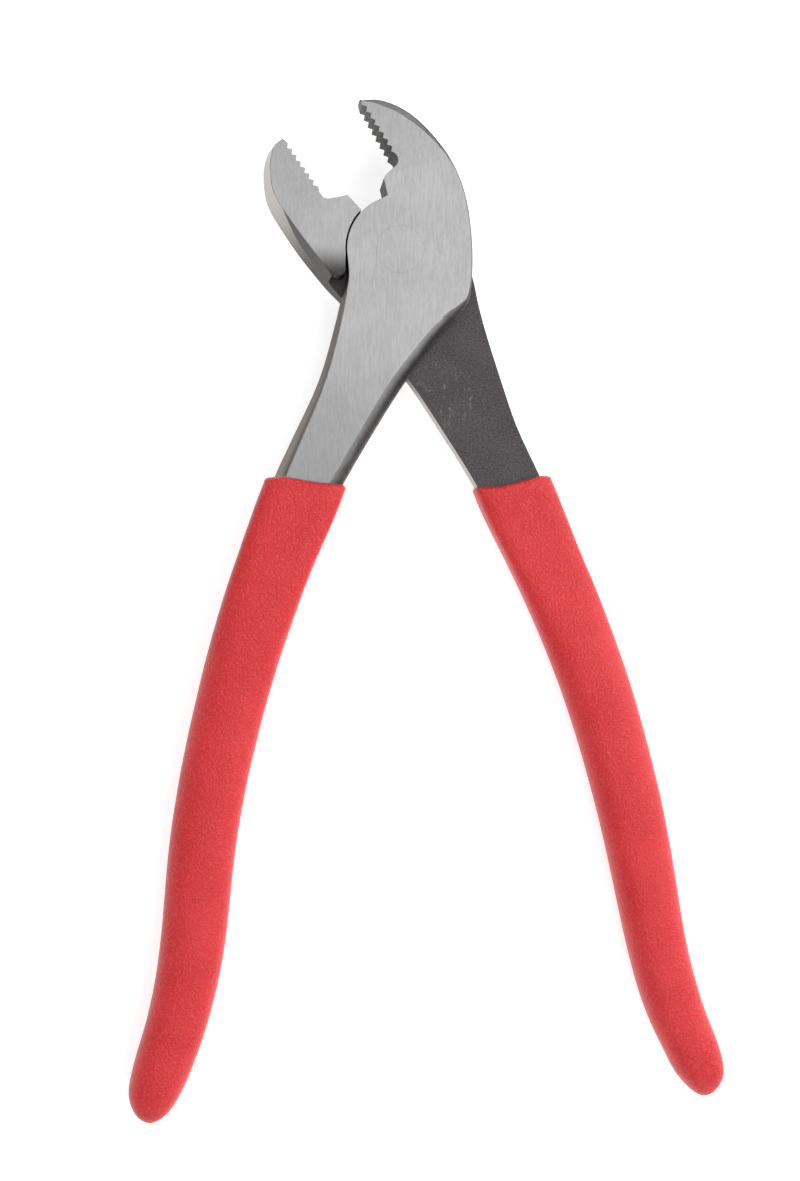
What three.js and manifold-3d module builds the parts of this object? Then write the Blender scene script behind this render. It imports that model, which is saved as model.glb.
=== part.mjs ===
// Battery-terminal pliers with an angled nose: two forged levers in a lap joint, a flush rivet
// and a dipped sleeve on each shank. Millimetres, +Z up. The pliers lie on their back, open.
// The pivot is the Z axis, the jaws point to +Y, and the levers' ground faces are z = 0 and
// z = THICKNESS. The front lever is the upper one at the pivot.
import * as THREE from "three";
import { mergeVertices } from "three/addons/utils/BufferGeometryUtils.js";
import Module from "manifold-3d";

const wasm = await Module();
wasm.setup();

// Joint
const THICKNESS = 10;
const MIDDLE = THICKNESS / 2;
const LAP_GAP = 0.2;
const HUB_RADIUS = 10.4;
const SHOULDER_RADIUS = HUB_RADIUS + 0.3;
const NOTCH_ANGLE = 103.5; // the radial stop edge of the front jaw, in degrees
const STOP_ANGLE = 135; // the edge of the rear jaw that closes against it

// Rivet
const RIVET_RADIUS = 3.6;
const RIVET_HEAD_RADIUS = 4.6;
const RIVET_HEAD_HEIGHT = 2;
const RIVET_TIGHT_FIT = 0.02;
const RIVET_RUNNING_FIT = 0.08;

// Jaws
const TEETH = 8;
const TOOTH_DEPTH = 0.7;
const TAPER_START = 14.5; // distance from the pivot at which the jaws begin to thin
const TAPER_END = 33;
const TAPER_DEPTH = 2.4; // what each face has lost at TAPER_END
const TAPER_POWER = 1.2;
const FRONT_JAW_ANGLE = 105;
const REAR_JAW_ANGLE = 137;
const ROLL_OVERLAP = 0.03; // how far a rolled edge runs on above the tapered face that trims it

// Handles
const LAP_HALF_HEIGHT = (THICKNESS - LAP_GAP) / 4;
const TANG_HALF_HEIGHT = 3;
const SLEEVE_HALF_HEIGHT = 5.2;
const SLEEVE_MOUTH_HALF_HEIGHT = 4.2;
const JOG_START = -56; // between these heights the tangs bend to the middle of the thickness
const JOG_END = -86;
const FIT = 0.3; // between a tang and its sleeve
const SLEEVE_MOUTH = -45.4;
const MOUTH_ROUNDNESS = 0.45; // 1 is an ellipse, less is squarer
const SLEEVE_ROUNDNESS = 0.84;
const TANG_CHAMFER = 0.25;
const END_WIDTH = 5.6; // half width below which a sleeve also thins in height
const END_POWER = 0.8;
const BORE_RISE = 8; // how far the bore runs on above the mouth
// The handles' tables are drawn before they fan out. The fan moves a point sideways by FAN_WIDTH
// times x and its distance from FAN_TURN, and along by FAN_LENGTH times x and the distance below
// the mouth, so the rear handle ends a little wider and longer and the front one shorter.
const FAN_WIDTH = 0.0002;
const FAN_TURN = -25;
const FAN_LENGTH = 0.00021;
const FAN_START = -8; // the fan grows from nothing here
const FAN_END = -60; // to its full width here

const LEVELS = [-90, -60, -30, 0, 30, 60, 90]; // degrees round the edge, from back face to front face
const SPLINE_STEPS = 4; // points for each gap between two control points
const OVAL_POINTS = 20;
const RIVET_POINTS = 48;
const MARGIN = 3; // how far a cutter reaches past what it cuts

const rad = THREE.MathUtils.degToRad;
const lerp = THREE.MathUtils.lerp;

// ---- outlines -------------------------------------------------------------------------------
// An outline runs anticlockwise, seen from the front, at mid thickness. Each of its points knows
// how far the back face (low) and the front face (high) stand inside it, and whether the wall
// gets there along a straight draft (roll 0) or round a quarter ellipse (roll 1).

function vertex(x, y, low = 0, high = 0, roll = 0) {
  return { x, y, low, high, roll };
}

function fannedX(x, y) {
  const share = THREE.MathUtils.smoothstep(-y, -FAN_START, -FAN_END);
  return x + FAN_WIDTH * x * (x - FAN_TURN) * share;
}

function fannedY(x, y) {
  return y + FAN_LENGTH * x * Math.min(0, y - SLEEVE_MOUTH);
}

// A smooth run through control points [x, y, low, high, roll].
function smooth(controls) {
  const points = controls.map(([x, y]) => new THREE.Vector3(fannedX(x, y), fannedY(x, y), 0));
  const curve = new THREE.CatmullRomCurve3(points);
  const gaps = controls.length - 1;
  return Array.from({ length: gaps * SPLINE_STEPS + 1 }, (_, i) => {
    const place = i / SPLINE_STEPS;
    const k = Math.min(Math.floor(place), gaps - 1);
    const wall = [2, 3, 4].map((n) => lerp(controls[k][n], controls[k + 1][n], place - k));
    const { x, y } = curve.getPoint(place / gaps);
    return vertex(x, y, ...wall);
  });
}

function arc(cx, cy, radius, from, to, stepDegrees) {
  const steps = Math.ceil(Math.abs(to - from) / stepDegrees);
  return Array.from({ length: steps + 1 }, (_, i) => {
    const angle = rad(lerp(from, to, i / steps));
    return vertex(cx + radius * Math.cos(angle), cy + radius * Math.sin(angle));
  });
}

function polar(radius, angle) {
  return vertex(radius * Math.cos(rad(angle)), radius * Math.sin(rad(angle)));
}

// A row of 90 degree teeth from the first crest to the last, cut into the left of the run.
function teeth(first, last) {
  const row = new THREE.Vector2(last[0] - first[0], last[1] - first[1]);
  const inward = new THREE.Vector2(-row.y, row.x).setLength(TOOTH_DEPTH);
  const run = [];
  for (let i = 0; i < TEETH; i++) {
    const crest = i / (TEETH - 1);
    const root = (i + 0.5) / (TEETH - 1);
    run.push(vertex(first[0] + row.x * crest, first[1] + row.y * crest));
    if (i < TEETH - 1)
      run.push(vertex(first[0] + row.x * root + inward.x, first[1] + row.y * root + inward.y));
  }
  return run;
}

function frontOutline() {
  return [
    ...teeth([-7.4, 28.2], [-1.8, 19]),
    ...arc(-2, 17.35, 1.6, 65, -60, 25),
    vertex(-2.75, 14.4),
    ...[14, 13.6, 10.75].map((radius) => polar(radius, NOTCH_ANGLE)),
    ...arc(0, 0, HUB_RADIUS, 112, 188, 4),
    ...smooth([
      [-10.15, -2.6, 0, 0, 0],
      [-10.25, -5.2, 0, 0.25, 0],
      [-11.2, -8.8, 0, 0.75, 0],
      [-12.3, -13.5, 0, 0.95, 0],
      [-15.6, -25, 0, 1.25, 0],
      [-21, -36.8, 0, 1.8, 0],
      [-24.4, -44.2, 0, 2.1, 0],
      [-26.2, -49.5, 0, 2.1, 0],
    ]),
    ...smooth([
      [-13, -50, 0, 3, 1],
      [-10.6, -45.2, 0, 3, 1],
      [-5.7, -36.7, 0, 3, 1],
      [0.4, -26.8, 0, 3, 1],
      [4.6, -21, 0, 2.9, 1],
      [8.6, -16, 0, 2.6, 1],
      [12.2, -12.3, 0, 1.9, 1],
      [13.8, -9.7, 0.4, 0.9, 1],
      [14.3, -6, 0.5, 0.5, 1],
      [14.4, 1, 0.5, 0.5, 1],
      [13.3, 9.9, 0.5, 0.5, 1],
      [11.3, 15.8, 0.5, 0.5, 1],
      [7.9, 21.7, 1.1, 1.1, 1],
      [2.3, 27.4, 1.8, 1.8, 1],
      [-2.9, 29.8, 1.6, 1.6, 1],
      [-5.9, 29.9, 0.9, 0.9, 1],
      [-7.9, 29.4, 0.3, 0.3, 1],
    ]),
  ];
}

function rearOutline() {
  return [
    ...smooth([
      [-22.7, 21.7, 0.2, 0.2, 0],
      [-24.6, 20.4, -0.4, 0.4, 0],
      [-25.5, 18, -0.6, 0.5, 0],
      [-25.8, 15.3, -0.6, 0.55, 0],
      [-25, 10.2, -0.7, 0.65, 0],
      [-21.9, 5, -0.75, 0.75, 0],
      [-17.6, -0.9, -0.75, 0.75, 0],
      [-13.3, -6.4, -0.5, 0.7, 0],
      [-11.2, -8.9, -0.2, 0.6, 0],
      [-4.5, -16.9, 0, 0, 0],
      [2.6, -25.4, 0, 0, 0],
      [8, -33.5, 0, 0, 0],
      [14.4, -43.6, 0, 0, 0],
      [17.9, -50, 0, 0, 0],
    ]),
    ...smooth([
      [30.4, -49, 0.8, 0, 1],
      [28, -43.6, 0.8, 0, 1],
      [23.4, -33.5, 0.8, 0, 1],
      [20.4, -24.6, 0.8, 0, 1],
      [17.6, -15.8, 0.7, 0, 1],
      [16, -9.9, 0.6, 0, 1],
      [14.9, -4.8, 0.4, 0, 1],
      [14, -2.4, 0.2, 0, 1],
    ]),
    ...arc(0, 0, HUB_RADIUS, -6.5, STOP_ANGLE, 4),
    ...[14.2, 14.6].map((radius) => polar(radius, STOP_ANGLE)),
    vertex(-11.7, 9.95),
    vertex(-14.2, 9.55),
    vertex(-15, 9.85),
    vertex(-15.7, 10.9),
    ...teeth([-15.9, 12], [-21.7, 20.6]),
  ];
}

// ---- solids ---------------------------------------------------------------------------------

// Joins rings that have the same number of points, and closes both ends with capFaces.
function loft(rings, capFaces) {
  const size = rings[0].length;
  const last = (rings.length - 1) * size;
  const faces = [];
  for (let start = 0; start < last; start += size)
    for (let i = 0; i < size; i++) {
      const a = start + i;
      const b = start + ((i + 1) % size);
      faces.push(a, b, b + size, a, b + size, a + size);
    }
  for (const [a, b, c] of capFaces) faces.push(c, b, a, last + a, last + b, last + c);
  return new THREE.BufferGeometry().setFromPoints(rings.flat()).setIndex(faces);
}

function fan(size) {
  return Array.from({ length: size - 2 }, (_, i) => [0, i + 1, i + 2]);
}

// Triangles that merging has closed up to a line are left out.
function solid(geometry) {
  geometry.deleteAttribute("normal");
  geometry.deleteAttribute("uv");
  const merged = mergeVertices(geometry, 1e-4);
  const vertProperties = new Float32Array(merged.attributes.position.array);
  const corners = Array.from(merged.index.array);
  const triVerts = [];
  for (let i = 0; i < corners.length; i += 3) {
    const [a, b, c] = corners.slice(i, i + 3);
    if (a !== b && b !== c && c !== a) triVerts.push(a, b, c);
  }
  return new wasm.Manifold(
    new wasm.Mesh({ numProp: 3, vertProperties, triVerts: new Uint32Array(triVerts) }),
  );
}

// A shape drawn in X and Y, from height z0 to z1.
function prism(shape, z0, z1) {
  const geometry = new THREE.ExtrudeGeometry(shape, { depth: z1 - z0, bevelEnabled: false });
  return solid(geometry.translate(0, 0, z0));
}

// What each face of a jaw has lost at a distance from the pivot.
function taperDepth(distance) {
  const part = THREE.MathUtils.clamp((distance - TAPER_START) / (TAPER_END - TAPER_START), 0, 1);
  return TAPER_DEPTH * part ** TAPER_POWER;
}

// The full-thickness blank of a lever, before the lap and the tapers are cut. Its walls roll and
// lean as far as the height that the tapered face will have, and stand straight above that.
function forging(outline, jawAngle) {
  const outward = outline.map((_, i) => {
    const before = outline.at(i - 1);
    const after = outline[(i + 1) % outline.length];
    return new THREE.Vector2(after.y - before.y, before.x - after.x).normalize();
  });
  const jaw = new THREE.Vector2(Math.cos(rad(jawAngle)), Math.sin(rad(jawAngle)));
  const ring = (level, straight) => {
    const rise = Math.sin(rad(level));
    const round = 1 - Math.cos(rad(level));
    return outline.map(({ x, y, low, high, roll }, i) => {
      const inset = (level < 0 ? low : high) * lerp(Math.abs(rise), round, roll);
      const rolled = Math.min(MIDDLE, MIDDLE - taperDepth(x * jaw.x + y * jaw.y) + ROLL_OVERLAP);
      const { x: nx, y: ny } = outward[i];
      const height = (straight ? MIDDLE : rolled) * rise;
      return new THREE.Vector3(x - nx * inset, y - ny * inset, MIDDLE + height);
    });
  };
  const walls = LEVELS.map((level) => ring(level, false));
  const rings = [ring(LEVELS.at(0), true), ...walls, ring(LEVELS.at(-1), true)];
  const flat = outline.map(({ x, y }) => new THREE.Vector2(x, y));
  return solid(loft(rings, THREE.ShapeUtils.triangulateShape(flat, [])));
}

// What thins a jaw on both faces towards its tip, along the direction angle.
function taperCuts(angle) {
  const steps = 8;
  const reach = 40;
  const profile = new THREE.Shape();
  profile.moveTo(TAPER_START, THICKNESS + MARGIN);
  for (let i = 0; i <= steps; i++) {
    const distance = lerp(TAPER_START, TAPER_END, i / steps);
    profile.lineTo(distance, THICKNESS - taperDepth(distance));
  }
  profile.lineTo(TAPER_END, THICKNESS + MARGIN);
  const front = new THREE.ExtrudeGeometry(profile, { depth: reach, bevelEnabled: false });
  front.translate(0, 0, -reach / 2).rotateX(Math.PI / 2).rotateZ(rad(angle));
  const top = solid(front);
  return [top, top.mirror([0, 0, 1]).translate([0, 0, THICKNESS])];
}

// The rivet, or with a gap the hole that takes it.
function rivetSolid(gap) {
  const beyond = gap > 0 ? MARGIN : 0;
  const head = RIVET_HEAD_RADIUS + gap;
  const shank = RIVET_RADIUS + gap;
  const profile = [
    [0, -beyond],
    [head, -beyond],
    [head, 0],
    [shank, RIVET_HEAD_HEIGHT],
    [shank, THICKNESS - RIVET_HEAD_HEIGHT],
    [head, THICKNESS],
    [head, THICKNESS + beyond],
    [0, THICKNESS + beyond],
  ];
  const corners = profile.map(([radius, z]) => new THREE.Vector2(radius, z));
  return solid(new THREE.LatheGeometry(corners, RIVET_POINTS).rotateX(Math.PI / 2));
}

// Where the front lever is only half thick: behind its hub and shank.
function frontLapCut() {
  const shape = new THREE.Shape();
  shape.moveTo(-SHOULDER_RADIUS, 0);
  shape.absarc(0, 0, SHOULDER_RADIUS, Math.PI, rad(-3), true);
  for (const [x, y] of [[17, -2.6], [17, -60], [-40, -60], [-40, 0]]) shape.lineTo(x, y);
  return prism(shape, -MARGIN, MIDDLE + LAP_GAP / 2);
}

// Where the rear lever is only half thick: in front of its hub and shank, as far as the round
// lower corner of its jaw block.
function rearLapCut() {
  const shape = new THREE.Shape();
  shape.moveTo(SHOULDER_RADIUS, 0);
  shape.absarc(0, 0, SHOULDER_RADIUS, 0, rad(186), false);
  shape.lineTo(-10.7, -3.9);
  shape.bezierCurveTo(-10.7, -5.4, -11.9, -5.6, -13, -5.1);
  for (const [x, y] of [[-17, -9], [-17, -60], [40, -60], [40, 0]]) shape.lineTo(x, y);
  return prism(shape, MIDDLE - LAP_GAP / 2, THICKNESS + MARGIN);
}

// ---- handles --------------------------------------------------------------------------------

// Section points [x, z] of half width w and half height h, anticlockwise.
function boxSection(w, h) {
  const quarter = [[w, h - TANG_CHAMFER], [w - TANG_CHAMFER, h]];
  const half = [...quarter, ...quarter.toReversed().map(([x, z]) => [-x, z])];
  return [...half, ...half.map(([x, z]) => [-x, -z])];
}

// A sleeve hugs the flat shank at its mouth and rounds out below.
function ovalSection(w, h, y) {
  const roundness = lerp(MOUTH_ROUNDNESS, SLEEVE_ROUNDNESS, jog(y));
  const bend = (value) => Math.sign(value) * Math.abs(value) ** roundness;
  return Array.from({ length: OVAL_POINTS }, (_, i) => {
    const angle = (2 * Math.PI * i) / OVAL_POINTS;
    return [w * bend(Math.cos(angle)), h * bend(Math.sin(angle))];
  });
}

// How much of the bend to mid thickness is done at height y, from 0 to 1.
function jog(y) {
  return THREE.MathUtils.smoothstep(-y, -JOG_START, -JOG_END);
}

function fannedRow([y, left, right]) {
  return new THREE.Vector3(fannedY((left + right) / 2, y), fannedX(left, y), fannedX(right, y));
}

// A bar down a handle through control rows [y, left, right], grown by gap all round. Its middle
// runs from lapCentre to mid thickness.
function bar(rows, lapCentre, section, halfHeight, gap) {
  const curve = new THREE.CatmullRomCurve3(rows.map(fannedRow));
  const steps = (rows.length - 1) * SPLINE_STEPS;
  const rings = Array.from({ length: steps + 1 }, (_, i) => {
    const { x: y, y: left, z: right } = curve.getPoint(i / steps);
    const centre = lerp(lapCentre, MIDDLE, jog(y));
    const w = (right - left) / 2;
    return section(w + gap, halfHeight(y, w) + gap, y).map(
      ([x, z]) => new THREE.Vector3((left + right) / 2 + x, y, centre + z),
    );
  });
  return solid(loft(rings, fan(rings[0].length)));
}

function tangHalfHeight(y) {
  return lerp(LAP_HALF_HEIGHT, TANG_HALF_HEIGHT, jog(y));
}

// The sleeve keeps its height until it narrows to its blunt end.
function sleeveHalfHeight(y, w) {
  const full = lerp(SLEEVE_MOUTH_HALF_HEIGHT, SLEEVE_HALF_HEIGHT, jog(y));
  return full * Math.min(1, (w / END_WIDTH) ** END_POWER);
}

const FRONT_TANG = [
  [-46.6, -25.15, -11.4],
  [-50, -26.3, -12.9],
  [-66, -31.9, -20.4],
  [-90, -38.3, -28.1],
  [-113, -42.7, -33.1],
  [-137, -45, -35.9],
  [-152, -47.6, -39.6],
];
const REAR_TANG = [
  [-46.6, 16.15, 29.25],
  [-50, 17.9, 30.6],
  [-66, 25.9, 37.3],
  [-90, 35.5, 45.4],
  [-113, 42, 51.1],
  [-137, 47.1, 55.1],
  [-148, 50.4, 58.2],
];
const FRONT_SLEEVE = [
  [SLEEVE_MOUTH, -26.1, -10.1],
  [-50, -28, -11.7],
  [-66, -33.9, -18.4],
  [-90, -40.3, -26.1],
  [-113, -44.6, -31.2],
  [-137, -46.9, -34],
  [-150, -49.2, -36.8],
  [-159, -51.9, -39.8],
  [-165, -53, -42.4],
  [-169, -51.7, -45],
  [-171.2, -49.3, -48],
];
const REAR_SLEEVE = [
  [SLEEVE_MOUTH, 14.8, 30.1],
  [-50, 16.5, 32.2],
  [-66, 24.2, 39.3],
  [-90, 33.5, 47.4],
  [-113, 40, 53],
  [-137, 45.2, 57],
  [-149, 48.7, 60.5],
  [-156, 52, 63.3],
  [-161, 54.6, 64.1],
  [-164, 57.2, 62.8],
  [-165.7, 59.4, 60.9],
];

// The steel that a sleeve has to clear: the tang, and the end of the lap above it.
function bore(tang, lapCentre) {
  const [[y, left, right], [nextY, nextLeft, nextRight]] = tang;
  const share = BORE_RISE / (y - nextY);
  const above = [y + BORE_RISE, left - (nextLeft - left) * share, right - (nextRight - right) * share];
  return bar([above, ...tang], lapCentre, boxSection, tangHalfHeight, FIT);
}

function sleeve(rows, tang, lapCentre) {
  const outside = bar(rows, lapCentre, ovalSection, sleeveHalfHeight, 0);
  return outside.subtract(bore(tang, lapCentre));
}

function lever(outline, lapCut, jawAngle, rivetFit, tang, lapCentre) {
  const cuts = [lapCut, ...taperCuts(jawAngle), rivetSolid(rivetFit)];
  const head = cuts.reduce((body, cut) => body.subtract(cut), forging(outline, jawAngle));
  return head.add(bar(tang, lapCentre, boxSection, tangHalfHeight, 0));
}

// ---- scene graph ----------------------------------------------------------------------------

const groundSteel = new THREE.MeshStandardMaterial({ color: 0xb8b9bc, metalness: 0.9, roughness: 0.45 });
const forgedSteel = new THREE.MeshStandardMaterial({ color: 0x8f8f92, metalness: 0.85, roughness: 0.5 });
const rivetSteel = new THREE.MeshStandardMaterial({ color: 0xc2c3c5, metalness: 0.9, roughness: 0.4 });
const redPlastisol = new THREE.MeshStandardMaterial({ color: 0xd9262b, metalness: 0, roughness: 0.55 });

function part(name, body, material) {
  const { numProp, vertProperties, triVerts } = body.getMesh();
  const geometry = new THREE.BufferGeometry();
  geometry.setAttribute("position", new THREE.BufferAttribute(vertProperties, numProp));
  geometry.setIndex(new THREE.BufferAttribute(triVerts, 1));
  const faceted = geometry.toNonIndexed();
  faceted.computeVertexNormals();
  const mesh = new THREE.Mesh(faceted, material);
  mesh.name = name;
  return mesh;
}

const frontCentre = THICKNESS - LAP_HALF_HEIGHT;
const rearCentre = LAP_HALF_HEIGHT;

const frontLever = lever(
  frontOutline(), frontLapCut(), FRONT_JAW_ANGLE, RIVET_TIGHT_FIT, FRONT_TANG, frontCentre,
);
const rearLever = lever(
  rearOutline(), rearLapCut(), REAR_JAW_ANGLE, RIVET_RUNNING_FIT, REAR_TANG, rearCentre,
);

const frontHandle = new THREE.Group();
frontHandle.add(
  part("front_lever", frontLever, groundSteel),
  part("pivot_rivet", rivetSolid(0), rivetSteel),
  part("front_grip", sleeve(FRONT_SLEEVE, FRONT_TANG, frontCentre), redPlastisol),
);

const rearHandle = new THREE.Group(); // turns about the Z axis
rearHandle.add(
  part("rear_lever", rearLever, forgedSteel),
  part("rear_grip", sleeve(REAR_SLEEVE, REAR_TANG, rearCentre), redPlastisol),
);

const pliers = new THREE.Group();
pliers.add(frontHandle, rearHandle);

export default pliers;
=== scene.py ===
"""Battery-terminal pliers with an angled nose: steel finishes, dipped grips, floor, light and camera.

Lengths in the tables are millimetres in the CAD's frame: the pivot is the Z axis, the jaws point to
+Y and the pliers lie on their back. Blender's own units are metres.
"""

import math

import bmesh
import bpy
import numpy as np
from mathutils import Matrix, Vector, noise


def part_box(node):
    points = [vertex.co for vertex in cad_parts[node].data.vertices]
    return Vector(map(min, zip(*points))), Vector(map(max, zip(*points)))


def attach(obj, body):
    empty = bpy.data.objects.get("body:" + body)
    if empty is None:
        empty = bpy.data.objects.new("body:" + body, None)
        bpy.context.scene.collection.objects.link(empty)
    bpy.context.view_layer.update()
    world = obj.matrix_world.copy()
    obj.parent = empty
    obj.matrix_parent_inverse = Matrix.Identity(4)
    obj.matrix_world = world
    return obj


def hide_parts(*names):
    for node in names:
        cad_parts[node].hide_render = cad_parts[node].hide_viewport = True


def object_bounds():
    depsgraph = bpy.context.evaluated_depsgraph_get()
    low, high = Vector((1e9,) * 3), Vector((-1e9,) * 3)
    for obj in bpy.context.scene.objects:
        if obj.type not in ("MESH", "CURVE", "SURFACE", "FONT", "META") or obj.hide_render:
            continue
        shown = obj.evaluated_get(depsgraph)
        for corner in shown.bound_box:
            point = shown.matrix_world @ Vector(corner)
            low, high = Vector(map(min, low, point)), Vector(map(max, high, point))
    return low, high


MM = 0.001

# Camera: it stands over the handles and leans a little towards the rear lever.
PHOTO_HEIGHT = 1181
FOCAL_PIXELS = 1804
SENSOR = 36
CAMERA_HEIGHT = 348.6  # above the ground faces
CAMERA_LEAN = 5.07  # degrees
CAMERA_PLACE = (0.1840, 0.5186)  # share of the object's box in X and Y that the camera stands over

# Stage
FLOOR_REACH = 4  # metres from the middle of the floor to its edges
FLOOR_GLOW = 0.6  # the floor is lit from below as well, as a light table is
WORLD_GLOW = 0.32
# Name, offset from the object's centre, edge length and watts of each square light.
LIGHTS = (
    ("key", (480, 200, 330), 520, 2.2),
    ("overhead", (60, 240, 800), 1150, 2.9),
    ("low", (120, -420, 560), 200, 0.9),
    ("rim", (-520, -40, 200), 260, 0.12),
)

# Steel
SMOOTH_ANGLE = 40  # degrees, below which two facets are one curved surface
FLAT_ANGLE = 0.4  # degrees, below which two facets are one flat face
WELD_GAP = 0.001
EDGE_RADIUS = 0.1
EDGE_SEGMENTS = 2
RIVET_MARGIN = 1.05  # edges within this many rivet radii of the pivot stay sharp
GRAIN_DEPTH = 0.006
BAND_EDGE = 0.1  # over which a band of a finish fades out
GRAIN_LEAN = -14  # degrees from +Y of the belt marks
FRONT_JAW_INSIDE = 211  # the way the toothed sides look, in degrees from +X
REAR_JAW_INSIDE = 34
REAR_SHANK_OUTSIDE = 205
LAP_SCUFFS = (10, -28, 4.9)  # where the rear lever's lap is scuffed
LAP_SCUFF_REACH = 10

# Grips
SAMPLE_STEP = 0.25  # between the heights at which the CAD's sleeve is measured
MOUTH_MARGIN = 0.05  # the first and last of them lie this far inside its mouth and its blunt end
END_MARGIN = 0.02
RING_STEP = 0.8
END_LENGTH = 14  # the blunt end, where the rings lie closer
END_RINGS = 26
RING_POINTS = 72
PROFILE_SMOOTHING = 2.5
FACETED_END = 4  # the last stretch, which keeps the CAD's own profile
MOUTH_ROUNDNESS = 0.45  # 1 is an ellipse, less is squarer
BODY_ROUNDNESS = 0.84
ROUNDING_RUN = (10.6, 40.6)  # distance below the mouth over which the section grows round
TIP_ROUNDING = 1.0  # how far from the blunt end the sleeve starts to close
LIP_RADIUS = 0.9
LIP_DEPTH = 1.5  # how far the lip curls towards the steel
LIP_STEPS = 6
LIP_SLANT_LENGTH = 16  # how far down the slant of the mouth is felt
WAVES = ((14, 0.12), (5, 0.05))  # size and depth of the uneven dip
# How high the mouth stands over the CAD's, from the left of the sleeve (0) to the right (1).
FRONT_LIP = ((0, 1.0), (0.26, 1.3), (0.43, 0.7), (0.67, 0.1), (1, -0.2))
REAR_LIP = ((0, -0.2), (0.29, -0.2), (0.48, 0.5), (0.67, 1.3), (0.82, 2.0), (1, 2.0))


# ---- node trees -----------------------------------------------------------------------------


class Shader:
    """A material's node tree, with short calls for the nodes that the finishes share."""

    def __init__(self, name):
        self.material = bpy.data.materials.new(name)
        self.material.use_nodes = True
        self.tree = self.material.node_tree
        self.bsdf = self.tree.nodes["Principled BSDF"]
        coordinates = self.tree.nodes.new("ShaderNodeTexCoord")
        self.place = self.vector_math("SCALE", coordinates.outputs["Object"], scale=1 / MM)
        self.normal = coordinates.outputs["Normal"]
        self.x, self.y, self.z = self.split(self.place)
        self.facing = self.split(self.normal)

    def add(self, kind, **settings):
        node = self.tree.nodes.new(kind)
        for name, value in settings.items():
            setattr(node, name, value)
        return node

    def feed(self, socket, value):
        if isinstance(value, bpy.types.NodeSocket):
            self.tree.links.new(value, socket)
        else:
            socket.default_value = value

    def math(self, operation, *values):
        node = self.add("ShaderNodeMath", operation=operation)
        for socket, value in zip(node.inputs, values):
            self.feed(socket, value)
        return node.outputs[0]

    def vector_math(self, operation, *values, scale=None):
        node = self.add("ShaderNodeVectorMath", operation=operation)
        for socket, value in zip(node.inputs, values):
            self.feed(socket, value)
        if scale is not None:
            node.inputs["Scale"].default_value = scale
        return node.outputs["Value" if operation in ("DOT_PRODUCT", "DISTANCE") else "Vector"]

    def split(self, vector):
        node = self.add("ShaderNodeSeparateXYZ")
        self.feed(node.inputs[0], vector)
        return node.outputs

    def ramp(self, value, low, high, start=0.0, end=1.0):
        """start up to low, end from high, and a smooth change between them."""
        node = self.add("ShaderNodeMapRange", interpolation_type="SMOOTHSTEP")
        for name, number in (
            ("Value", value),
            ("From Min", low),
            ("From Max", high),
            ("To Min", start),
            ("To Max", end),
        ):
            self.feed(node.inputs[name], number)
        return node.outputs[0]

    def both(self, *masks):
        product = masks[0]
        for mask in masks[1:]:
            product = self.math("MULTIPLY", product, mask)
        return product

    def band(self, value, low, high):
        """1 from low to high, 0 beyond them."""
        above = self.ramp(value, low - BAND_EDGE, low)
        below = self.ramp(value, high + BAND_EDGE, high)
        return self.both(above, below)

    def looks(self, degrees):
        """1 on walls that look along a direction in the XY plane, 0 on those that look away."""
        angle = math.radians(degrees)
        along = (math.cos(angle), math.sin(angle), 0)
        return self.ramp(self.vector_math("DOT_PRODUCT", self.normal, along), 0.05, 0.25)

    def noise(self, size, detail=2, roughness=0.5, turn=0, spread=(1, 1, 1)):
        """Noise from 0 to 1 whose grains are size millimetres, stretched by spread after turn degrees."""
        node = self.add("ShaderNodeTexNoise")
        mapping = self.add("ShaderNodeMapping", vector_type="POINT")
        mapping.inputs["Rotation"].default_value = (0, 0, math.radians(turn))
        mapping.inputs["Scale"].default_value = [1 / (size * s) for s in spread]
        self.feed(mapping.inputs["Vector"], self.place)
        self.feed(node.inputs["Vector"], mapping.outputs[0])
        node.inputs["Scale"].default_value = 1
        node.inputs["Detail"].default_value = detail
        node.inputs["Roughness"].default_value = roughness
        return node.outputs["Fac"]

    def mix(self, mask, first, second):
        node = self.add("ShaderNodeMix", data_type="RGBA")
        self.feed(node.inputs[0], mask)
        for socket, value in zip(node.inputs[6:8], (first, second)):
            self.feed(socket, value if isinstance(value, bpy.types.NodeSocket) else (*value, 1))
        return node.outputs[2]

    def blend(self, mask, first, second):
        node = self.add("ShaderNodeMix", data_type="FLOAT")
        for socket, value in zip(node.inputs[:4], (mask, None, first, second)):
            if value is not None:
                self.feed(socket, value)
        return node.outputs[0]

    def bump(self, height, depth, below=None):
        """A normal from height, 0 to 1, that is depth millimetres tall."""
        node = self.add("ShaderNodeBump")
        node.inputs["Strength"].default_value = 1
        node.inputs["Distance"].default_value = depth * MM
        self.feed(node.inputs["Height"], height)
        if below is not None:
            self.feed(node.inputs["Normal"], below)
        return node.outputs[0]

    def finish(self, color, roughness, normal, metallic):
        self.feed(self.bsdf.inputs["Base Color"], color)
        self.feed(self.bsdf.inputs["Roughness"], roughness)
        self.feed(self.bsdf.inputs["Normal"], normal)
        self.bsdf.inputs["Metallic"].default_value = metallic
        return self.material


# ---- steel ----------------------------------------------------------------------------------


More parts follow.
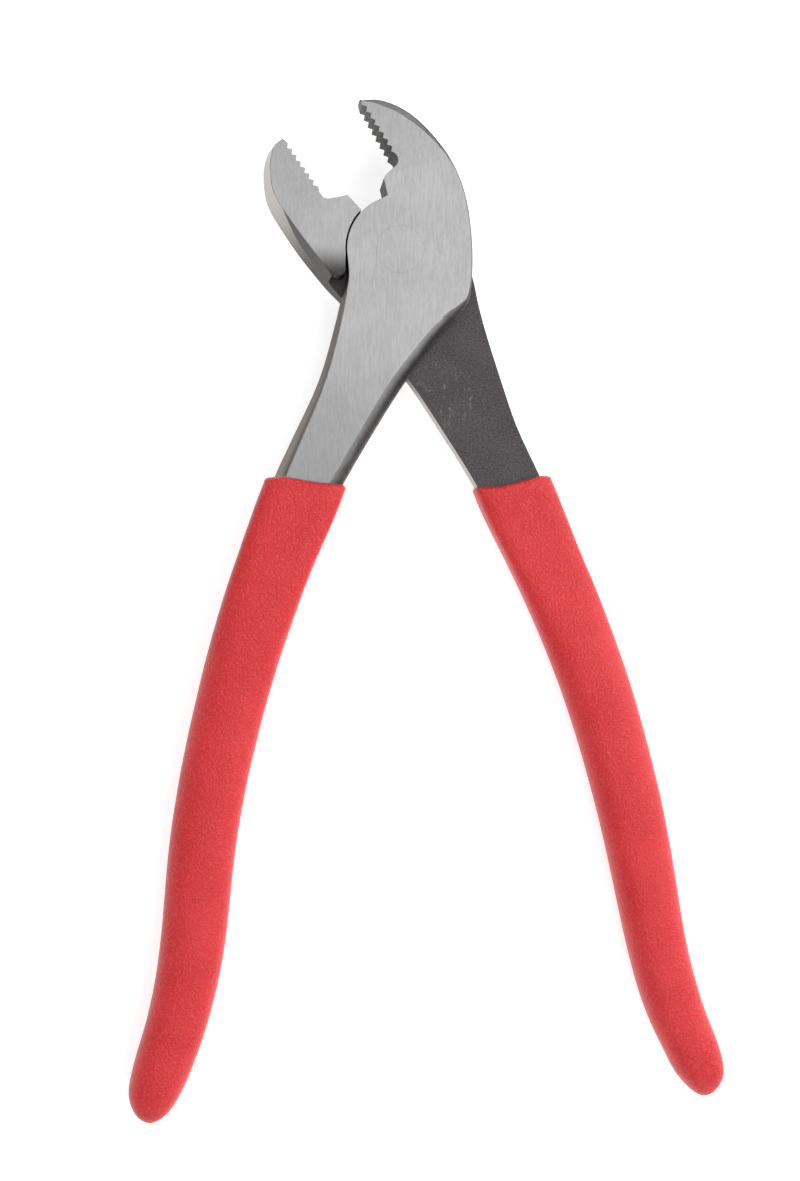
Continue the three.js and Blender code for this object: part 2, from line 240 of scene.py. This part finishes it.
def ground_finish(shader):
    """Colour, roughness and height of a belt-ground face."""
    fine = shader.noise(0.16, 3, 0.65, GRAIN_LEAN, (1, 9, 1))
    coarse = shader.noise(0.45, 2, 0.5, GRAIN_LEAN - 5, (1, 12, 1))
    cloud = shader.noise(9, 2)
    marks = shader.blend(0.3, fine, coarse)
    tone = shader.blend(0.2, marks, cloud)
    near = shader.mix(shader.ramp(tone, 0.36, 0.64), (0.43, 0.425, 0.43), (0.54, 0.535, 0.54))
    # Darker along the shank towards the grips, up to three tenths of the way to near-black.
    color = shader.mix(shader.ramp(shader.y, -12, -46, 0, 0.3), near, (0.1, 0.1, 0.11))
    return color, shader.ramp(marks, 0.25, 0.75, 0.34, 0.46), marks


def skin_finish(shader, dark, light):
    """Colour, roughness and height of a forging's own skin."""
    grit = shader.noise(0.35, 3, 0.65)
    blotch = shader.noise(6, 2)
    tone = shader.blend(0.15, grit, blotch)
    color = shader.mix(shader.ramp(tone, 0.35, 0.68), dark, light)
    return color, shader.ramp(grit, 0.3, 0.7, 0.42, 0.6), grit


def scuffed(shader, finish, centre, reach):
    """A finish with pale specks all over and scuffs round centre."""
    color, roughness, height = finish
    away = shader.vector_math("DISTANCE", shader.place, centre)
    scuffs = shader.both(
        shader.ramp(away, reach, 0),
        shader.ramp(shader.noise(1.2, 4, 0.75, 35, (1, 1.8, 1)), 0.55, 0.7),
    )
    specks = shader.ramp(shader.noise(0.45, 1), 0.68, 0.8, 0, 0.35)
    pale = shader.math("MAXIMUM", scuffs, specks)
    return shader.mix(pale, color, (0.27, 0.26, 0.27)), roughness, height


def layered(shader, finishes):
    """Lays finishes (mask, (colour, roughness, height)) over the first one, whose mask is None."""
    _, (color, roughness, height) = finishes[0]
    for mask, (over_color, over_roughness, over_height) in finishes[1:]:
        color = shader.mix(mask, color, over_color)
        roughness = shader.blend(mask, roughness, over_roughness)
        height = shader.blend(mask, height, over_height)
    return shader.finish(color, roughness, shader.bump(height, GRAIN_DEPTH), 1)


def front_steel():
    """Ground faces darkened as painted shade where they curve over, a shoulder of skin and painted shade,
    dark forged draft and dark teeth with painted shade towards the throat.
    """
    s = Shader("front_steel")
    level = s.math("ABSOLUTE", s.facing[2])
    lap = s.both(s.band(s.z, 4.9, 5.2), s.ramp(s.facing[2], -0.8, -0.9))
    face = s.ramp(level, 0.55, 0.7)
    outward = s.looks(FRONT_JAW_INSIDE - 180)
    shank = s.both(s.ramp(s.facing[0], 0, 0.1), s.ramp(s.y, -8, -12))
    jaw = s.both(outward, s.ramp(s.y, 10, 16))
    # Painted shade: the outward-facing edges of the ground faces, where they curve over, are darkened
    # (and roughened).
    rolled_edge_shade = s.both(face, s.ramp(level, 0.999, 0.96), s.ramp(s.facing[0], 0, 0.1))
    # The outer shoulder is partly the forging's own skin and partly painted shade: it darkens as it turns
    # away from the ground face, a painted dark reflection.
    shoulder = s.both(s.ramp(level, 0.995, 0.5), s.math("MAXIMUM", shank, s.both(jaw, 0.35)))
    flash = s.both(shank, s.ramp(level, 0.4, 0.2), s.ramp(s.noise(0.5, 2), 0.45, 0.6, 0, 0.7))
    inside = s.both(s.looks(FRONT_JAW_INSIDE), s.ramp(s.y, 10.3, 10.8), s.ramp(level, 0.6, 0.5))
    # Painted shade: the teeth's dark skin turns near-black towards the throat between the jaws.
    deep = s.ramp(s.y, 27, 18)
    tooth_skin_and_shade = s.mix(deep, (0.09, 0.085, 0.075), (0.02, 0.018, 0.017))
    lit = s.both(s.ramp(s.y, -10, -42), s.ramp(s.z, 9.6, 7))
    skin = skin_finish(
        s,
        s.mix(lit, (0.045, 0.037, 0.032), (0.15, 0.135, 0.12)),
        s.mix(lit, (0.10, 0.085, 0.075), (0.27, 0.245, 0.225)),
    )
    oxide = skin_finish(s, (0.045, 0.043, 0.043), (0.10, 0.097, 0.095))
    teeth = (tooth_skin_and_shade, skin[1], skin[2])
    shoulder_skin_and_shade, _, grit = skin_finish(s, (0.06, 0.058, 0.056), (0.14, 0.135, 0.13))
    bare = skin_finish(s, (0.3, 0.3, 0.3), (0.45, 0.45, 0.45))
    ground = ground_finish(s)
    return layered(
        s,
        [
            (None, skin),
            (face, ground),
            (rolled_edge_shade, (s.mix(0.4, ground[0], (0.1, 0.1, 0.1)), 0.7, ground[2])),
            (shoulder, (shoulder_skin_and_shade, 0.65, grit)),
            (flash, bare),
            (lap, oxide),
            (inside, teeth),
        ],
    )


def rear_steel():
    """Black oxide on the lap and shank, ground faces on jaw and back with painted shade low on the jaw, a
    satin strip on the jaw's side and dark teeth with painted shade towards the throat.
    """
    s = Shader("rear_steel")
    level = s.math("ABSOLUTE", s.facing[2])
    wall = s.ramp(level, 0.6, 0.5)
    lap = s.both(s.band(s.z, 4.8, 5.1), s.ramp(s.facing[2], 0.55, 0.7))
    face = s.ramp(level, 0.55, 0.7)
    inside = s.both(s.looks(REAR_JAW_INSIDE), s.ramp(s.x, -11, -11.4), wall)
    edge = s.ramp(s.y, 0, 10.6, 5, 10)
    edge_distance = s.math("SUBTRACT", s.z, edge)
    outside = s.both(wall, s.looks(REAR_SHANK_OUTSIDE))
    strip = s.both(outside, s.ramp(edge_distance, 0.1, -0.05), s.ramp(s.y, -4, 10))
    shank_side = s.both(outside, s.ramp(s.y, -22, -30))
    # Painted shade: the ground face takes the skin's dark colour low on the jaw, towards the pivot next
    # to the front lever's hub.
    jaw_foot_shade = s.both(s.ramp(s.facing[2], 0.55, 0.7), s.ramp(s.z, 5.5, 6), s.ramp(s.y, 1.5, -5))
    # Painted shade: the teeth's dark skin turns near-black towards the throat between the jaws.
    deep = s.ramp(s.y, 20, 11)
    tooth_skin_and_shade = s.mix(deep, (0.13, 0.125, 0.11), (0.03, 0.027, 0.026))
    skin = skin_finish(s, (0.045, 0.042, 0.04), (0.10, 0.095, 0.09))
    oxide = skin_finish(s, (0.062, 0.055, 0.058), (0.14, 0.13, 0.133))
    oxide = scuffed(s, oxide, LAP_SCUFFS, LAP_SCUFF_REACH)
    satin = skin_finish(s, (0.42, 0.40, 0.38), (0.52, 0.50, 0.48))
    teeth = (tooth_skin_and_shade, skin[1], skin[2])
    return layered(
        s,
        [
            (None, skin),
            (face, ground_finish(s)),
            (jaw_foot_shade, skin),
            (lap, oxide),
            (strip, satin),
            (shank_side, satin),
            (inside, teeth),
        ],
    )


def rivet_steel():
    s = Shader("rivet_steel")
    return layered(s, [(None, ground_finish(s))])


def gentle_edges(group):
    """A socket that is true on edges where two facets meet at a small angle."""
    angle = group.nodes.new("GeometryNodeInputMeshEdgeAngle")
    gentle = group.nodes.new("FunctionNodeCompare")
    gentle.operation = "LESS_THAN"
    gentle.inputs[1].default_value = math.radians(SMOOTH_ANGLE)
    group.links.new(angle.outputs["Unsigned Angle"], gentle.inputs[0])
    return gentle.outputs[0]


def beyond(group, radius):
    """A socket that is true further than radius from the pivot's axis."""
    place = group.nodes.new("GeometryNodeInputPosition")
    flatten = group.nodes.new("ShaderNodeVectorMath")
    flatten.operation = "MULTIPLY"
    flatten.inputs[1].default_value = (1, 1, 0)
    away = group.nodes.new("ShaderNodeVectorMath")
    away.operation = "LENGTH"
    further = group.nodes.new("FunctionNodeCompare")
    further.operation = "GREATER_THAN"
    further.inputs[1].default_value = radius
    group.links.new(place.outputs[0], flatten.inputs[0])
    group.links.new(flatten.outputs[0], away.inputs[0])
    group.links.new(away.outputs["Value"], further.inputs[0])
    return further.outputs[0]


def smooth_facets(clear_radius):
    """A geometry group that shades facets as one surface where they meet at a small angle, and
    marks the other edges for rounding, apart from those within clear_radius of the pivot."""
    group = bpy.data.node_groups.new("smooth_facets", "GeometryNodeTree")
    for way in ("INPUT", "OUTPUT"):
        group.interface.new_socket("Geometry", in_out=way, socket_type="NodeSocketGeometry")
    new = group.nodes.new
    link = group.links.new
    source = new("NodeGroupInput")
    result = new("NodeGroupOutput")
    strip = new("GeometryNodeRemoveAttribute")
    strip.inputs["Name"].default_value = "custom_normal"
    faces = new("GeometryNodeSetShadeSmooth")
    edges = new("GeometryNodeSetShadeSmooth")
    edges.domain = "EDGE"
    weight = new("FunctionNodeBooleanMath")
    weight.operation = "NIMPLY"
    store = new("GeometryNodeStoreNamedAttribute")
    store.domain = "EDGE"
    store.inputs["Name"].default_value = "bevel_weight_edge"
    gentle = gentle_edges(group)
    link(source.outputs[0], strip.inputs["Geometry"])
    link(strip.outputs[0], faces.inputs["Geometry"])
    link(faces.outputs[0], edges.inputs["Geometry"])
    link(gentle, edges.inputs["Shade Smooth"])
    link(beyond(group, clear_radius), weight.inputs[0])
    link(gentle, weight.inputs[1])
    link(weight.outputs[0], store.inputs["Value"])
    link(edges.outputs[0], store.inputs["Geometry"])
    link(store.outputs[0], result.inputs[0])
    return group


def dress(node, material, group):
    """The CAD node keeps its mesh. Modifiers join its facets, shade them and break its sharp edges."""
    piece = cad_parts[node]
    piece.material_slots[0].material = material
    weld = piece.modifiers.new("weld", "WELD")
    weld.merge_threshold = WELD_GAP * MM
    flat = piece.modifiers.new("flat", "DECIMATE")
    flat.decimate_type = "DISSOLVE"
    flat.angle_limit = math.radians(FLAT_ANGLE)
    shade = piece.modifiers.new("shade", "NODES")
    shade.node_group = group
    edge = piece.modifiers.new("edge", "BEVEL")
    edge.width = EDGE_RADIUS * MM
    edge.segments = EDGE_SEGMENTS
    edge.limit_method = "WEIGHT"
    edge.use_clamp_overlap = False
    even = piece.modifiers.new("even", "WEIGHTED_NORMAL")
    even.keep_sharp = True


# ---- grips ----------------------------------------------------------------------------------


def smoothstep(value, low, high):
    share = np.clip((value - low) / (high - low), 0, 1)
    return share * share * (3 - 2 * share)


def slices(node, heights):
    """For each height: the left, right, lowest and highest point of a CAD node, in millimetres."""
    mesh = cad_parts[node].data
    points = np.array([v.co for v in mesh.vertices]) / MM
    corners = np.array([p.vertices[:] for p in mesh.polygons])
    ends = np.concatenate([points[corners[:, [a, (a + 1) % 3]]] for a in range(3)])
    rows = []
    for height in heights:
        over = ends[:, :, 1] - height
        crossing = over[:, 0] * over[:, 1] < 0
        share = (over[crossing, 0] / (over[crossing, 0] - over[crossing, 1]))[:, None]
        cut = ends[crossing, 0] * (1 - share) + ends[crossing, 1] * share
        rows.append((cut[:, 0].min(), cut[:, 0].max(), cut[:, 2].min(), cut[:, 2].max()))
    return np.array(rows)


def softened(rows, heights, end):
    """Rows without the CAD's facets, except close to the blunt end."""
    step = heights[0] - heights[1]
    reach = int(3 * PROFILE_SMOOTHING / step)
    kernel = np.exp(-0.5 * (np.arange(-reach, reach + 1) * step / PROFILE_SMOOTHING) ** 2)
    kernel /= kernel.sum()
    before = 2 * rows[0] - rows[reach:0:-1]
    after = 2 * rows[-1] - rows[-2 : -reach - 2 : -1]
    padded = np.concatenate([before, rows, after])
    smooth = np.column_stack([np.convolve(column, kernel, "valid") for column in padded.T])
    weight = smoothstep(heights - end, FACETED_END, END_LENGTH + FACETED_END)[:, None]
    return rows * (1 - weight) + smooth * weight


def rounded_tip(rows, rise):
    """Rows that close in a dome over the last stretch before the end, where rise is 0."""
    shut = np.sqrt(1 - np.clip(1 - rise / TIP_ROUNDING, 0, 1) ** 2)[:, None]
    low, high = rows[:, 0::2], rows[:, 1::2]
    middle = (low + high) / 2
    half = (high - low) / 2 * shut
    return np.stack([middle - half, middle + half], axis=2).reshape(len(rows), 4)


def sleeve_rows(node):
    """The sleeve's extent at each of its rings' heights, from just below the mouth to the end."""
    low, high = (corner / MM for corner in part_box(node))
    mouth = high.y
    end = low.y
    samples = int((mouth - end) / SAMPLE_STEP)
    sample = np.linspace(mouth - MOUTH_MARGIN, end + END_MARGIN, samples)
    profile = softened(slices(node, sample), sample, end)
    straight = np.arange(mouth - LIP_RADIUS, end + END_LENGTH, -RING_STEP)
    easing = np.sin(np.linspace(0, math.pi / 2, END_RINGS + 1)[1:-1])
    last = straight[-1]
    heights = np.concatenate([straight, last + (end - last) * easing])
    rows = np.column_stack([np.interp(-heights, -sample, column) for column in profile.T])
    return rounded_tip(rows, heights - end), heights, mouth


def ring(row, height, mouth, lip, curl=0, rise=0):
    """Points round the sleeve at a height, drawn in by curl, from 0 to 1, where the lip turns over."""
    left, right, bottom, top = row
    below = mouth - height
    rounding = smoothstep(below, *ROUNDING_RUN)
    roundness = MOUTH_ROUNDNESS + (BODY_ROUNDNESS - MOUTH_ROUNDNESS) * rounding
    turn = np.linspace(0, 2 * math.pi, RING_POINTS, endpoint=False)
    shape = [np.sign(wave) * np.abs(wave) ** roundness for wave in (np.cos(turn), np.sin(turn))]
    x = (left + right) / 2 + ((right - left) / 2 - LIP_RADIUS * curl) * shape[0]
    z = (bottom + top) / 2 + ((top - bottom) / 2 - LIP_DEPTH * curl) * shape[1]
    slant = np.interp((x - left) / (right - left), *zip(*lip))
    y = height + rise + slant * (1 - smoothstep(below, 0, LIP_SLANT_LENGTH))
    return np.column_stack([x, y, z])


def grip_rings(node, lip):
    """Rings of points round a dipped sleeve, from its blunt end up to the middle of its mouth."""
    rows, heights, mouth = sleeve_rows(node)
    rings = [ring(row, height, mouth, lip) for row, height in zip(rows[::-1], heights[::-1])]
    for step in range(1, LIP_STEPS + 1):
        angle = math.pi / 2 * step / LIP_STEPS
        curl = 1 - math.cos(angle)
        rings.append(ring(rows[0], heights[0], mouth, lip, curl, LIP_RADIUS * math.sin(angle)))
    return rings


def dip_waves(point, seed):
    """How far the uneven dip falls short of its full thickness at a point."""
    shift = Vector((seed, 0, 0))
    return sum(depth * (1 + noise.noise(point / size + shift)) / 2 for size, depth in WAVES)


def skinned(rings, seed):
    """A closed mesh over rings of points, with the uneven dip taken off it."""
    mesh = bmesh.new()
    loops = [[mesh.verts.new(point) for point in points] for points in rings]
    for lower, upper in zip(loops, loops[1:]):
        for i in range(RING_POINTS):
            j = (i + 1) % RING_POINTS
            mesh.faces.new((lower[j], lower[i], upper[i], upper[j]))
    for loop in (loops[0], loops[-1]):
        middle = mesh.verts.new(sum((v.co for v in loop), Vector()) / RING_POINTS)
        for i in range(RING_POINTS):
            mesh.faces.new((loop[i], loop[(i + 1) % RING_POINTS], middle))
    bmesh.ops.recalc_face_normals(mesh, faces=mesh.faces)
    mesh.normal_update()
    for vert in mesh.verts:
        vert.co -= vert.normal * dip_waves(vert.co, seed)
    bmesh.ops.scale(mesh, vec=(MM, MM, MM), verts=mesh.verts)
    for face in mesh.faces:
        face.smooth = True
    return mesh


def grip(name, node, body, lip, material, seed):
    """The dipped sleeve that stands for a CAD sleeve."""
    mesh = skinned(grip_rings(node, lip), seed)
    data = bpy.data.meshes.new(name)
    mesh.to_mesh(data)
    mesh.free()
    data.materials.append(material)
    piece = bpy.data.objects.new(name, data)
    bpy.context.scene.collection.objects.link(piece)
    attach(piece, body)
    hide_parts(node)


def plastisol():
    """Red dipped vinyl: a fine orange peel, faint clouds of colour, painted highlight specks on the
    peel's crests and a soft sheen.
    """
    s = Shader("red_plastisol")
    peel = s.noise(0.42, 2, 0.5)
    ripple = s.noise(1.6, 2)
    cloud = s.noise(11, 2)
    deep = s.mix(s.ramp(cloud, 0.3, 0.7), (0.68, 0.014, 0.021), (0.75, 0.024, 0.030))
    # Painted highlight: pale salmon specks on the crests of the orange peel.
    color = s.mix(s.ramp(peel, 0.45, 0.8), deep, (0.80, 0.065, 0.062))
    normal = s.bump(peel, 0.3, s.bump(ripple, 0.08))
    return s.finish(color, s.ramp(peel, 0.3, 0.7, 0.36, 0.44), normal, 0)


# ---- stage ----------------------------------------------------------------------------------


def floor(low):
    mesh = bpy.data.meshes.new("floor")
    ways = ((-1, -1), (1, -1), (1, 1), (-1, 1))
    corners = [(x * FLOOR_REACH, y * FLOOR_REACH, low.z) for x, y in ways]
    mesh.from_pydata(corners, [], [(0, 1, 2, 3)])
    s = Shader("floor_paint")
    s.finish(
        s.mix(s.noise(60), (0.90, 0.90, 0.90), (0.93, 0.93, 0.93)),
        s.ramp(s.noise(5), 0.3, 0.7, 0.8, 0.9),
        s.bump(s.noise(2), 0.01),
        0,
    )
    s.bsdf.inputs["Emission Color"].default_value = (1, 1, 1, 1)
    s.bsdf.inputs["Emission Strength"].default_value = FLOOR_GLOW
    mesh.materials.append(s.material)
    piece = bpy.data.objects.new("floor", mesh)
    bpy.context.scene.collection.objects.link(piece)


def softbox(name, centre, offset, size, power):
    """A square light at offset from the object's centre, in millimetres, turned to face it."""
    lamp = bpy.data.lights.new(name, "AREA")
    lamp.size = size * MM
    lamp.energy = power
    piece = bpy.data.objects.new(name, lamp)
    piece.location = centre + Vector(offset) * MM
    piece.rotation_euler = (-Vector(offset)).to_track_quat("-Z", "Y").to_euler()
    piece.visible_camera = False
    bpy.context.scene.collection.objects.link(piece)


def light(centre):
    for name, offset, size, power in LIGHTS:
        softbox(name, centre, offset, size, power)
    world = bpy.data.worlds.new("studio")
    world.use_nodes = True
    background = world.node_tree.nodes["Background"]
    background.inputs["Color"].default_value = (1, 1, 1, 1)
    background.inputs["Strength"].default_value = WORLD_GLOW
    bpy.context.scene.world = world


def camera(low, high):
    lens = bpy.data.cameras.new("camera")
    lens.sensor_width = SENSOR
    lens.lens = SENSOR * FOCAL_PIXELS / PHOTO_HEIGHT
    lens.clip_start = 0.01
    piece = bpy.data.objects.new("camera", lens)
    share_x, share_y = CAMERA_PLACE
    piece.location = (
        low.x + (high.x - low.x) * share_x,
        low.y + (high.y - low.y) * share_y,
        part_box("front_lever")[1].z + CAMERA_HEIGHT * MM,
    )
    piece.rotation_euler = (0, -math.radians(CAMERA_LEAN), 0)
    bpy.context.scene.collection.objects.link(piece)
    bpy.context.scene.camera = piece


# ---- the scene ------------------------------------------------------------------------------

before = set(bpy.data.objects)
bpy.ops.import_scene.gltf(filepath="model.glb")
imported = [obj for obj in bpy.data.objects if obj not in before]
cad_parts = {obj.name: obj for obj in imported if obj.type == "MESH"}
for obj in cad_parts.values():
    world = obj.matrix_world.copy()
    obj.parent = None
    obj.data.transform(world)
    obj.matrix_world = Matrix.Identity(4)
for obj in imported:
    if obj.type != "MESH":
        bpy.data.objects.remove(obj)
cad_low, cad_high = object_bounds()

camera(cad_low, cad_high)
floor(cad_low)
light((cad_low + cad_high) / 2)
bpy.context.scene.view_settings.view_transform = "Standard"

facets = smooth_facets(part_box("pivot_rivet")[1].x * RIVET_MARGIN)
dress("front_lever", front_steel(), facets)
dress("rear_lever", rear_steel(), facets)
dress("pivot_rivet", rivet_steel(), facets)

vinyl = plastisol()
grip("front_dip", "front_grip", "front_handle", FRONT_LIP, vinyl, 1)
grip("rear_dip", "rear_grip", "rear_handle", REAR_LIP, vinyl, 8)
